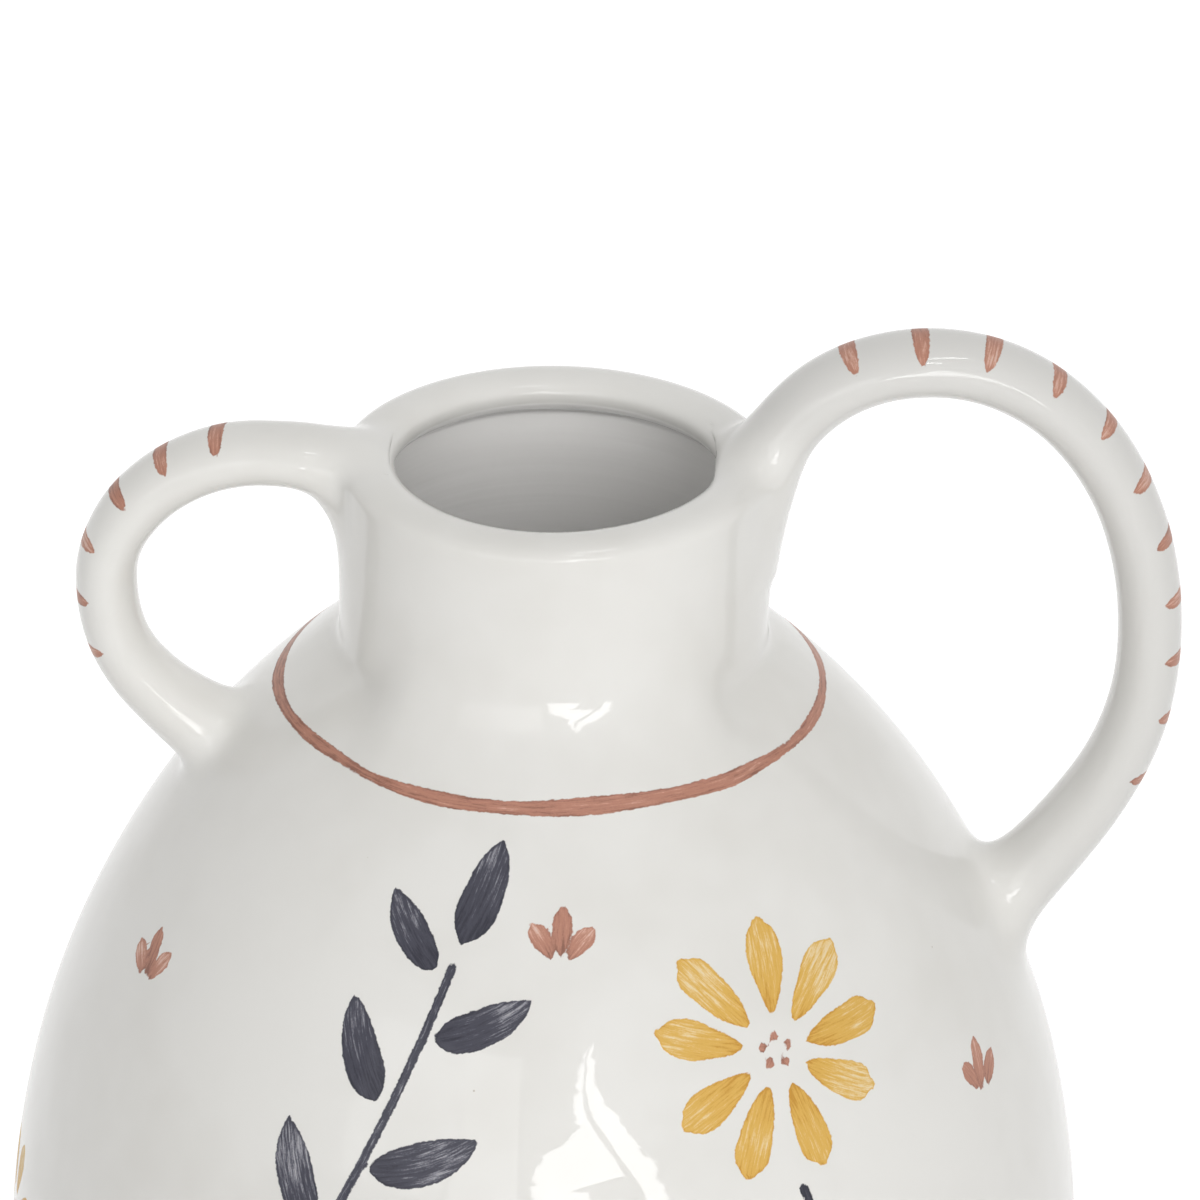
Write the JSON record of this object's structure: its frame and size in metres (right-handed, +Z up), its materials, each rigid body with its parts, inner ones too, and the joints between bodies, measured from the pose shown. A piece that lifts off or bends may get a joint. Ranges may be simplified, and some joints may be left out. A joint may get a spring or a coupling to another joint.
{
  "type": "two-handled jar",
  "caption": "Glazed ceramic jar with a round belly, a short neck, a rolled rim, a small and a large loop handle.",
  "frame": {"origin": "centre of the foot ring on the surface that the jar stands on", "axes": "+Z up along the jar's axis, +X towards the large handle, -Y towards the front of the picture"},
  "size_m": [0.2468, 0.232, 0.3282],
  "materials": {
    "glazed_body": "clear gloss glaze over warm white clay, brushed decoration under the glaze",
    "glazed_neck": "clear gloss glaze over warm white clay",
    "bare_foot": "bare fired clay, matt and slightly sandy",
    "glazed_handle_small": "clear gloss glaze over warm white clay",
    "glazed_handle_large": "clear gloss glaze over warm white clay"
  },
  "bodies": {
    "root": {"body_shell": "glazed_body", "neck_collar": "glazed_neck", "foot_ring": "bare_foot", "small_handle": "glazed_handle_small", "large_handle": "glazed_handle_large"}
  },
  "joints": []
}
